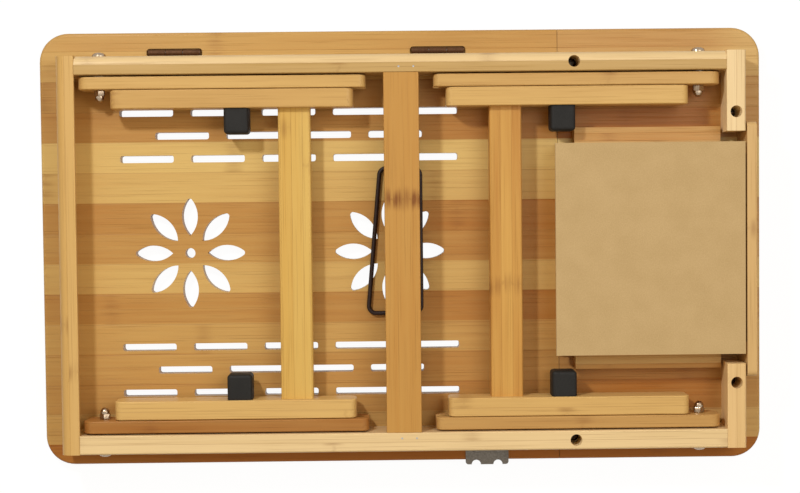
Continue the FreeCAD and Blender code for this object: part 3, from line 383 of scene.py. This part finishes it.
# Each rail is two strips. The hinge rail's outer strip is paler and the end rail's outer strip
# darker: partly the tones of the strips, partly painted light and painted shade on their rounded
# outer edges.
hinge_rail = bamboo_board("hinge rail bamboo", "x", pale=CREAM, toasted=STRAW, first=0.1187,
                          tones=(0.9, 0.1), scatter=0.2, seed=5.0, **rail_strips)
free_rail = bamboo_board("free rail bamboo", "x", pale=(0.84, 0.65, 0.37), toasted=STRAW,
                         first=-0.1385, tones=(0.0, 0.1), scatter=0.2, seed=11.0, **rail_strips)
end_board = bamboo_board("end rail bamboo", "y", pale=(0.70, 0.465, 0.185),
                         toasted=(0.62, 0.37, 0.105), first=-0.233, tones=(0.5, 0.2),
                         scatter=0.2, seed=8.0, **rail_strips)

block_strips = dict(toasted=STRAW, first=0.220, tones=(0.1, 0.2), knuckles=0.1, **rail_strips)
block_board = bamboo_board("end block bamboo", "y", pale=(0.91, 0.72, 0.43), seed=12.0,
                           **block_strips)
low_block_board = bamboo_board("lower end block bamboo", "y", pale=(0.82, 0.58, 0.29), seed=14.0,
                               **block_strips)
print("rail strips:", rail_strips["strip"], "m wide")

# %% Runners, centre rail, crossbars and drawer
AMBER = (0.50, 0.225, 0.048)
GOLD = (0.755, 0.54, 0.175)

runner_board = bamboo_board("runner bamboo", "x", pale=(0.66, 0.45, 0.19), toasted=AMBER,
                            strip=0.0055, seed=13.0)
# The centre rail and the right crossbar are darker than the left crossbar: partly their own tone,
# partly painted shade, darker away from the main lamp.
centre_board = bamboo_board("centre rail bamboo", "y", pale=(0.60, 0.345, 0.10), toasted=AMBER,
                            strip=0.024, first=-0.012, tones=(0.35,), contrast=1.0, streaks=0.6,
                            knuckles=1.3, at=0.033, scatter=0.0, seed=2.0)
cross_left = bamboo_board("left crossbar bamboo", "y", pale=GOLD, toasted=(0.66, 0.39, 0.09),
                          strip=0.0075, contrast=0.3, seed=6.0)
cross_right = bamboo_board("right crossbar bamboo", "y", pale=(0.72, 0.44, 0.125), toasted=AMBER,
                           strip=0.0075, contrast=0.25, streaks=0.7, knuckles=0.6, at=-0.027,
                           scatter=0.004, seed=7.0)
drawer_board = bamboo_board("drawer front bamboo", "y", pale=(0.74, 0.52, 0.25),
                            toasted=(0.66, 0.44, 0.19), strip=0.013, seed=9.0)
print("materials so far:", len(bpy.data.materials))

# %% Leg bars
BAR_PALE = (0.74, 0.50, 0.19)
BAR_DARK = (0.36, 0.145, 0.032)
BAR_STRIPS = 8          # broad strips across the table, so that each bar lies within one or two
BAR_FIRST_SEED = 20.0
BAR_TONES = {
    "upper_leg_left_hinge": 0.20, "lower_leg_left_hinge": 0.30,
    "upper_leg_right_hinge": 0.36, "lower_leg_right_hinge": 0.16,
    "upper_leg_left_free": 0.90, "lower_leg_left_free": 0.12,
    "upper_leg_right_free": 0.52, "lower_leg_right_free": 0.17,
}
bars = {}
for number, (start, tone) in enumerate(BAR_TONES.items()):
    bars[start] = bamboo_board(start + " bamboo", "x", pale=BAR_PALE, toasted=BAR_DARK, strip=0.04,
                               first=-0.15, tones=(tone,) * BAR_STRIPS, contrast=1.0, streaks=0.28,
                               seed=BAR_FIRST_SEED + number)
print("bar materials:", len(bars))

# %% [markdown]
# ## Specks
# Pressed board, moulded plastic and dull metal have no grain, only a fine speckle and faint, broad
# clouds. One flat colour would look like paint, and a picture would be too coarse close up. A
# second group gives both as masks at a chosen size, and each material mixes its own two tones.

# %% The speckle group
SPECK_DETAIL = 3.0
SPECK_EDGES = (0.3, 0.7)    # the noise levels at which a speck starts and is full
BROAD_RATE = 0.05           # clouds to each speck


def make_specks():
    tree, given, result = new_group("specks", {"Place": "vector", "Size": "value"},
                                    {"Fine": "value", "Broad": "value"})
    place = parts_of(tree, given["Place"])
    rate = calc(tree, "DIVIDE", 1.0, given["Size"])
    wide = calc(tree, "MULTIPLY", rate, BROAD_RATE)
    for label, each in (("Fine", rate), ("Broad", wide)):
        level = noise(tree, stretched(tree, place, (each, each, each)), detail=SPECK_DETAIL)
        plug(tree, fade(tree, level, *SPECK_EDGES), result[label])
    return tree


specks = make_specks()
print("speckle group:", len(specks.nodes), "nodes")

# %% Board, plastic and metal
BROAD_SHARE = 0.4
SPECK_DEPTH = 0.00005


def speckled(name, light, dark, size, rough, metal=0.0, shine=0.5):
    """A material between two tones and two roughnesses, with specks of a size in metres."""
    material, tree, shader = new_material(name)
    made = use_group(tree, specks, place=object_place(tree), size=size)
    mask = tint(tree, BROAD_SHARE, made["Fine"], made["Broad"])
    plug(tree, tint(tree, mask, (*light, 1), (*dark, 1)), shader.inputs["Base Color"])
    low, high = rough
    grade = calc(tree, "ADD", low, calc(tree, "MULTIPLY", mask, high - low))
    plug(tree, grade, shader.inputs["Roughness"])
    shader.inputs["Metallic"].default_value = metal
    shader.inputs["Specular IOR Level"].default_value = shine
    bump(tree, made["Fine"], SPECK_DEPTH, shader)
    return material


pressed_board = speckled("pressed board", light=(0.57, 0.41, 0.205), dark=(0.50, 0.355, 0.170),
                         size=0.0009, rough=(0.7, 0.85))
black_plastic = speckled("black plastic", light=(0.018, 0.0165, 0.0145), dark=(0.012, 0.011, 0.010),
                         size=0.0006, rough=(0.5, 0.62), shine=0.2)
bronze = speckled("bronze plate", light=(0.115, 0.050, 0.019), dark=(0.07, 0.030, 0.012),
                  size=0.0012, rough=(0.5, 0.7), metal=0.5, shine=0.3)
dark_wire = speckled("dark wire", light=(0.024, 0.010, 0.006), dark=(0.015, 0.006, 0.004),
                     size=0.0012, rough=(0.4, 0.55), shine=0.25)
# A dark grey-brown plate: partly its own colour, partly painted shade, as the lift tab lies in the
# free rail's shadow.
tab_metal = speckled("tab plate", light=(0.17, 0.145, 0.115), dark=(0.11, 0.092, 0.072),
                     size=0.0010, rough=(0.4, 0.6), metal=1.0)
nickel = speckled("nickel plate", light=(0.42, 0.32, 0.22), dark=(0.32, 0.23, 0.15),
                  size=0.0015, rough=(0.2, 0.35), metal=1.0)
# Blackened steel for the frame screws: partly a dark finish, partly painted shade for the deep
# counterbores they sit in.
dark_steel = speckled("blackened steel with painted shade", light=(0.10, 0.08, 0.06), dark=(0.06, 0.05, 0.04),
                      size=0.0010, rough=(0.3, 0.45), metal=1.0)
steel = speckled("zinc steel", light=(0.58, 0.58, 0.57), dark=(0.46, 0.46, 0.46),
                 size=0.0010, rough=(0.3, 0.45), metal=1.0)
print("materials:", len(bpy.data.materials))

# %% [markdown]
# ## Dressing the model
# Most shapes are right as the CAD model has them. To build them again would only risk a poor fit,
# so each node keeps its mesh and takes a better material. Names are matched by their first words,
# so that one line serves a family of nodes, and the longest match wins.

# %% Give every node its material
FINISHES = {
    "tilt_panel": top_board, "fixed_panel": fixed_board,
    "rail_hinge": hinge_rail, "rail_free": free_rail, "frame_dowels": free_rail,
    "end_rail": end_board, "end_block_hinge": block_board, "end_block_free": low_block_board,
    "centre_rail": centre_board, "runner_": runner_board, **bars,
    "crossbar_left": cross_left, "crossbar_right": cross_right,
    "drawer_front": drawer_board, "drawer_back": drawer_board, "drawer_side": runner_board,
    "drawer_bottom": pressed_board, "lock_knob": black_plastic,
    "hinge_": bronze, "hinge_pins": steel, "prop_bail": dark_wire,
    "lift_tab": tab_metal, "bail_clip": tab_metal, "pivot_": nickel,
    "lock_": steel, "panel_screws": steel, "centre_brads": steel,
}


def finish_for(name):
    fitting = [start for start in FINISHES if name.startswith(start)]
    return FINISHES[max(fitting, key=len)]


for name, node in nodes.items():
    for place in node.material_slots:
        place.material = finish_for(name)
print("dressed:", len(nodes), "nodes")

# %% [markdown]
# ## Small hardware
# Screws, bolts and nuts are turned on a lathe, so each starts as a profile of radius and height
# that is spun about an axis. A driver recess is then carved out of the head: a cross, a slot or a
# hexagon. Ready cylinders would be quicker, but they have no dome, rim or point. Each kind is made
# once and copied to its places, and it takes over from the plainer CAD node.

# %% Meshes and objects


def settled(shape, name):
    """Turn a finished bmesh into a mesh, and let the bmesh go."""
    mesh = bpy.data.meshes.new(name)
    shape.to_mesh(mesh)
    shape.free()
    return mesh


def placed(name, data):
    """A new object in the scene with this mesh, lamp or camera."""
    thing = bpy.data.objects.new(name, data)
    bpy.context.scene.collection.objects.link(thing)
    return thing


# %% Turning


def arch(radius, low, high, steps=8):
    """The quarter ellipse of a domed head, from its rim up to the axis."""
    turns = [math.pi / 2 * step / steps for step in range(steps)]
    rim = [(radius * math.cos(turn), low + (high - low) * math.sin(turn)) for turn in turns]
    return rim + [(0, high)]


def turned(profile, sides=40, phase=0.0, ring=False):
    """A closed mesh spun about z from (radius, height) pairs in millimetres. The pairs start and
    end on the axis, or for a ring they go once round its section."""
    shape = bmesh.new()
    rings = []
    for radius, height in profile:
        count = sides if radius else 1
        turns = [phase + math.tau * step / sides for step in range(count)]
        points = [(radius * math.cos(turn), radius * math.sin(turn), height) for turn in turns]
        rings.append([shape.verts.new(point) for point in points])
    for low, high in zip(rings, rings[1:] + rings[:1] if ring else rings[1:]):
        for step in range(sides):
            after = step + 1
            corners = [low[step % len(low)], low[after % len(low)],
                       high[after % len(high)], high[step % len(high)]]
            shape.faces.new(dict.fromkeys(corners))
    bmesh.ops.recalc_face_normals(shape, faces=shape.faces)
    return settled(shape, "turned")


# %% Carving


def bar_cutter(length, width, low, high, turn):
    """A bar between two heights, turned about z, to cut one slot."""
    shape = bmesh.new()
    bmesh.ops.create_cube(shape, size=1)
    middle = Matrix.Translation((0, 0, (low + high) / 2))
    size = Matrix.Diagonal((length, width, high - low, 1))
    shape.transform(Matrix.Rotation(turn, 4, "Z") @ middle @ size)
    return settled(shape, "cutter")


def carved(mesh, cutters):
    """The mesh with every cutter taken out of it."""
    for cutter in cutters:
        solid, tool = placed("solid", mesh), placed("tool", cutter)
        taking = solid.modifiers.new("take", "BOOLEAN")
        taking.operation = "DIFFERENCE"
        taking.object = tool
        view = bpy.context.evaluated_depsgraph_get()
        mesh = bpy.data.meshes.new_from_object(solid.evaluated_get(view))
        for item in (solid, tool):
            bpy.data.objects.remove(item)
    return mesh


# %% Fitting
MM = 0.001
SHARP = math.radians(35)


def fit_hardware(name, meshes, places, node, body, material):
    """Copy the meshes of one fastener to each place, as one piece that stands for a CAD node."""
    shape = bmesh.new()
    for place in places:
        for mesh in meshes:
            moved = mesh.copy()
            moved.transform(place @ Matrix.Scale(MM, 4))
            shape.from_mesh(moved)
    mesh = settled(shape, name)
    mesh.shade_smooth()
    mesh.set_sharp_from_angle(angle=SHARP)
    mesh.materials.append(material)
    piece = placed(name, mesh)
    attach(piece, body)
    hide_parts(node)
    print(name, len(places), "places,", len(mesh.vertices), "vertices")


# %% Pan-head screws
RIM_SHARE = 0.35      # of the head's height
POINT_SHARE = 0.25    # of the shank's radius
OVER_HEAD = 5         # millimetres, higher than any head, where a cutter ends
FRAME_SCREWS = ((117, 125), (117, -132), (226.5, 90), (226.5, -94))
TAB_SCREWS = ((50.4, -142.6), (65.6, -142.6))
CLIP_SCREWS = ((-8, 49.8), (-8, 59.6), (6, 49.8), (6, 59.6))
FRAME_SEAT, TAB_SEAT, CLIP_SEAT = 19, 10.2, 10


def pan_screw(radius, height, shank, length):
    point = [(0, -length), (shank * POINT_SHARE, -length), (shank, 2 * shank - length), (shank, 0)]
    rim = height * RIM_SHARE
    return turned(point + [(radius, 0), (radius, rim)] + arch(radius, rim, height))


def upright(spots, z):
    return [Matrix.Translation((x * MM, y * MM, z * MM)) for x, y in spots]


cross = [bar_cutter(length=4.4, width=0.8, low=0.7, high=OVER_HEAD, turn=turn)
         for turn in (math.pi / 8, math.pi * 5 / 8)]
frame_screw = carved(pan_screw(radius=3.5, height=2.2, shank=1.7, length=16), cross)
slit = bar_cutter(length=6, width=0.5, low=0.65, high=OVER_HEAD, turn=math.pi / 5)
small_screw = carved(pan_screw(radius=2.4, height=1.2, shank=1.2, length=6), [slit])
fit_hardware("frame_screw_heads", [frame_screw], upright(FRAME_SCREWS, FRAME_SEAT),
             "panel_screws", "frame", dark_steel)
fit_hardware("tab_screw_heads", [small_screw], upright(TAB_SCREWS, TAB_SEAT),
             "lift_tab_screws", "panel", tab_metal)
fit_hardware("clip_screw_heads", [small_screw], upright(CLIP_SCREWS, CLIP_SEAT),
             "bail_clip_screws", "panel", steel)

# %% [markdown]
# ## Leg pivots
# Each leg turns on a bolt through its rail, with a washer between bar and rail and a cap nut
# inside. A hexagon could be drawn out of a flat shape, but the nut is a turned piece with only six
# sides, and its cap is a second one with many, so one helper makes both. Washers and nuts stand a
# hair clear of the bars, because faces that touch would cut into each other as a bar turns.

# %% Places of the pivots, in millimetres
PLAY = 0.05    # what a turning bar clears
PIVOT_Z = 23.7
PIVOT_XS = (-205.5, 203.5)
RAIL_OUT = {1: 131.5, -1: -138.5}
RAIL_IN = {1: 118.5, -1: -125.5}
NUT_SEAT = {1: 109.0, -1: -116.0}


def on_pivots(start, outward):
    """Places on the four pivots, with z turned out of the frame or in towards its middle."""
    places = []
    for side, y in start.items():
        turn = Matrix.Rotation(-side * outward * math.pi / 2, 4, "X")
        places += [Matrix.Translation((x * MM, y * MM, PIVOT_Z * MM)) @ turn for x in PIVOT_XS]
    return places


# %% Bolts, cap nuts and washers
HEAD_RADIUS, HEAD_RIM, HEAD_TOP = 4.7, 0.9, 3.4
CAP_RADIUS, CAP_FOOT, CAP_RIM, CAP_TOP = 3.1, 3.7, 4.9, 8.0

bolt = turned([(0, -27.5), (1.6, -27.5), (2, -27.0), (2, 0), (HEAD_RADIUS, 0)]
              + [(HEAD_RADIUS, HEAD_RIM)] + arch(HEAD_RADIUS, HEAD_RIM, HEAD_TOP))
socket = turned([(0, 1.4), (1.5, 1.4), (1.5, OVER_HEAD), (0, OVER_HEAD)], sides=6)
nut_base = turned([(0, PLAY), (3.55, PLAY), (3.85, 0.4), (3.85, 3.4), (3.5, 3.9), (0, 3.9)],
                  sides=6, phase=math.pi / 6)
nut_cap = turned([(0, CAP_FOOT), (CAP_RADIUS, CAP_FOOT), (CAP_RADIUS, CAP_RIM)]
                 + arch(CAP_RADIUS, CAP_RIM, CAP_TOP))
washer = turned([(2.1, PLAY), (5.7, PLAY), (6, 0.3), (6, 0.7), (5.7, 1 - PLAY), (2.1, 1 - PLAY)],
                ring=True)
fit_hardware("pivot_bolt_heads", [carved(bolt, [socket])], on_pivots(RAIL_OUT, 1),
             "pivot_bolts", "frame", nickel)
fit_hardware("pivot_cap_nuts", [nut_base, nut_cap], on_pivots(NUT_SEAT, -1),
             "pivot_nuts", "frame", nickel)
fit_hardware("pivot_washer_rings", [washer], on_pivots(RAIL_IN, -1),
             "pivot_washers", "frame", nickel)

# %% [markdown]
# ## Lock springs
# A spring is a wire wound along a helix. A curve with a bevel could draw it, but a mesh made ring
# by ring fills its box exactly. It is hidden in its bar, rides with the lower leg and keeps a mesh
# of its own. The CAD box gives its place and size.

# %% Winding
SPRING_WIRE = 0.00045    # radius of the wire in metres
SPRING_TURNS = 4
STEPS_PER_TURN = 30
WIRE_SIDES = 8


def coil_spring(name, low, high):
    """A closed wire wound about y that fills the box from low to high."""
    radius = (high.x - low.x) / 2 - SPRING_WIRE
    middle_x, middle_z = (low.x + high.x) / 2, (low.z + high.z) / 2
    steps = SPRING_TURNS * STEPS_PER_TURN
    rise = high.y - low.y - 2 * SPRING_WIRE
    shape = bmesh.new()
    rings = []
    for step in range(steps + 1):
        turn = math.tau * step / STEPS_PER_TURN
        y = low.y + SPRING_WIRE + rise * step / steps
        ring = []
        for side in range(WIRE_SIDES):
            around = math.tau * side / WIRE_SIDES
            reach = radius + SPRING_WIRE * math.cos(around)
            point = (middle_x + reach * math.cos(turn), y + SPRING_WIRE * math.sin(around),
                     middle_z + reach * math.sin(turn))
            ring.append(shape.verts.new(point))
        rings.append(ring)
    for first, second in zip(rings, rings[1:]):
        for side in range(WIRE_SIDES):
            after = (side + 1) % WIRE_SIDES
            shape.faces.new((first[side], first[after], second[after], second[side]))
    shape.faces.new(rings[0])
    shape.faces.new(rings[-1])
    bmesh.ops.recalc_face_normals(shape, faces=shape.faces)
    mesh = settled(shape, name)
    mesh.shade_smooth()
    mesh.materials.append(steel)
    return placed(name, mesh)


for side in ("left", "right"):
    for edge in ("hinge", "free"):
        node = f"lock_spring_{side}_{edge}_side"
        low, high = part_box(node)
        spring = coil_spring(f"coil_{side}_{edge}", low, high)
        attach(spring, side + "_lower")
        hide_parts(node)
        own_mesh(spring)

# %% [markdown]
# ## Floor, light and camera
# The floor and the sky are white for the eye and for mirrors, and plain for everything else, so the
# page stays white while the object keeps its own colours. More light would whiten the page too, but
# it would wash out the wood. One lamp hangs close by at the upper left, so the shadows fan out and
# grow longer towards the lower right. A weaker, wider lamp at the upper right and an even, warm sky
# fill them.

# %% Floor
WHITE = (1, 1, 1, 1)
FLOOR_HALF = 6.0
FLOOR_DROP = 0.0003    # metres below the table, so that the two faces don't meet
FLOOR_TONE = 0.07
PAGE_GLOW = 0.955


def white_to_the_eye(tree):
    """1 for rays from the camera, from gloss and through glass."""
    path = tree.nodes.new("ShaderNodeLightPath").outputs
    seen = calc(tree, "ADD", path["Is Camera Ray"], path["Is Glossy Ray"])
    return calc(tree, "ADD", seen, path["Is Transmission Ray"], clamp=True)


floor_mesh = bpy.data.meshes.new("floor")
corners = [(-FLOOR_HALF, -FLOOR_HALF, 0), (FLOOR_HALF, -FLOOR_HALF, 0),
           (FLOOR_HALF, FLOOR_HALF, 0), (-FLOOR_HALF, FLOOR_HALF, 0)]
floor_mesh.from_pydata(corners, [], [(0, 1, 2, 3)])
floor = placed("floor", floor_mesh)
floor.location.z = -FLOOR_DROP
page, page_tree, page_shader = new_material("page")
page_shader.inputs["Base Color"].default_value = (FLOOR_TONE, FLOOR_TONE, FLOOR_TONE, 1)
page_shader.inputs["Roughness"].default_value = 1.0
page_shader.inputs["Specular IOR Level"].default_value = 0.0
page_shader.inputs["Emission Color"].default_value = WHITE
glow = calc(page_tree, "MULTIPLY", white_to_the_eye(page_tree), PAGE_GLOW)
plug(page_tree, glow, page_shader.inputs["Emission Strength"])
floor_mesh.materials.append(page)
print("floor:", floor.dimensions.x, "m")

# %% Sky
SKY_LEVEL = 0.50
SKY_COLOUR = (1.0, 0.77, 0.46, 1)

world = bpy.data.worlds.new("sky")
world.use_nodes = True
bpy.context.scene.world = world
sky_tree = world.node_tree
sky = sky_tree.nodes["Background"]
seen = white_to_the_eye(sky_tree)
plug(sky_tree, tint(sky_tree, seen, SKY_COLOUR, WHITE), sky.inputs["Color"])
more = calc(sky_tree, "MULTIPLY", seen, 1 - SKY_LEVEL)
plug(sky_tree, calc(sky_tree, "ADD", SKY_LEVEL, more), sky.inputs["Strength"])
print("sky nodes:", len(sky_tree.nodes))

# %% Lamps
LAMP_COLOUR = (0.97, 0.99, 1.0)
LAMPS = {    # place and power, then the radius, which softens the shadows
    "main lamp": ((-0.34, 0.42, 0.62), 17.6, 0.035),
    "fill lamp": ((0.42, 0.22, 0.72), 11.0, 0.28),
}

for name, (spot, power, radius) in LAMPS.items():
    lamp = bpy.data.lights.new(name, "POINT")
    lamp.energy = power
    lamp.shadow_soft_size = radius
    lamp.color = LAMP_COLOUR
    lamp.use_nodes = True
    lamp_tree = lamp.node_tree
    reach = lamp_tree.nodes.new("ShaderNodeLightFalloff")
    reach.inputs["Strength"].default_value = 1.0
    plug(lamp_tree, reach.outputs["Constant"], lamp_tree.nodes["Emission"].inputs["Strength"])
    bulb = placed(name, lamp)
    bulb.location = spot
    bulb.visible_camera = False
print("lamps:", len(LAMPS))

# %% [markdown]
# The camera stands a little above the middle of the table and looks almost straight down, as in the
# photograph. Its place, its small turn and its lens come from the known corners of the top.

# %% Camera
CAMERA_SPOT = Vector((-0.0096, 0.0300, 0.9409))
CAMERA_TURN = Vector((-1.835, -0.509, -0.593)) * math.radians(1)
PICTURE_WIDTH = 800
FOCAL_PIXELS = 1337.7
SENSOR_WIDTH = 36.0

view = bpy.data.cameras.new("camera")
view.sensor_width = SENSOR_WIDTH
view.lens = SENSOR_WIDTH * FOCAL_PIXELS / PICTURE_WIDTH
camera = placed("camera", view)
turn = Matrix.Rotation(CAMERA_TURN.length, 4, CAMERA_TURN.normalized())
camera.matrix_world = Matrix.Translation(CAMERA_SPOT) @ turn
bpy.context.scene.camera = camera
bpy.context.scene.view_settings.view_transform = "Standard"
print("lens:", round(view.lens, 2), "mm")
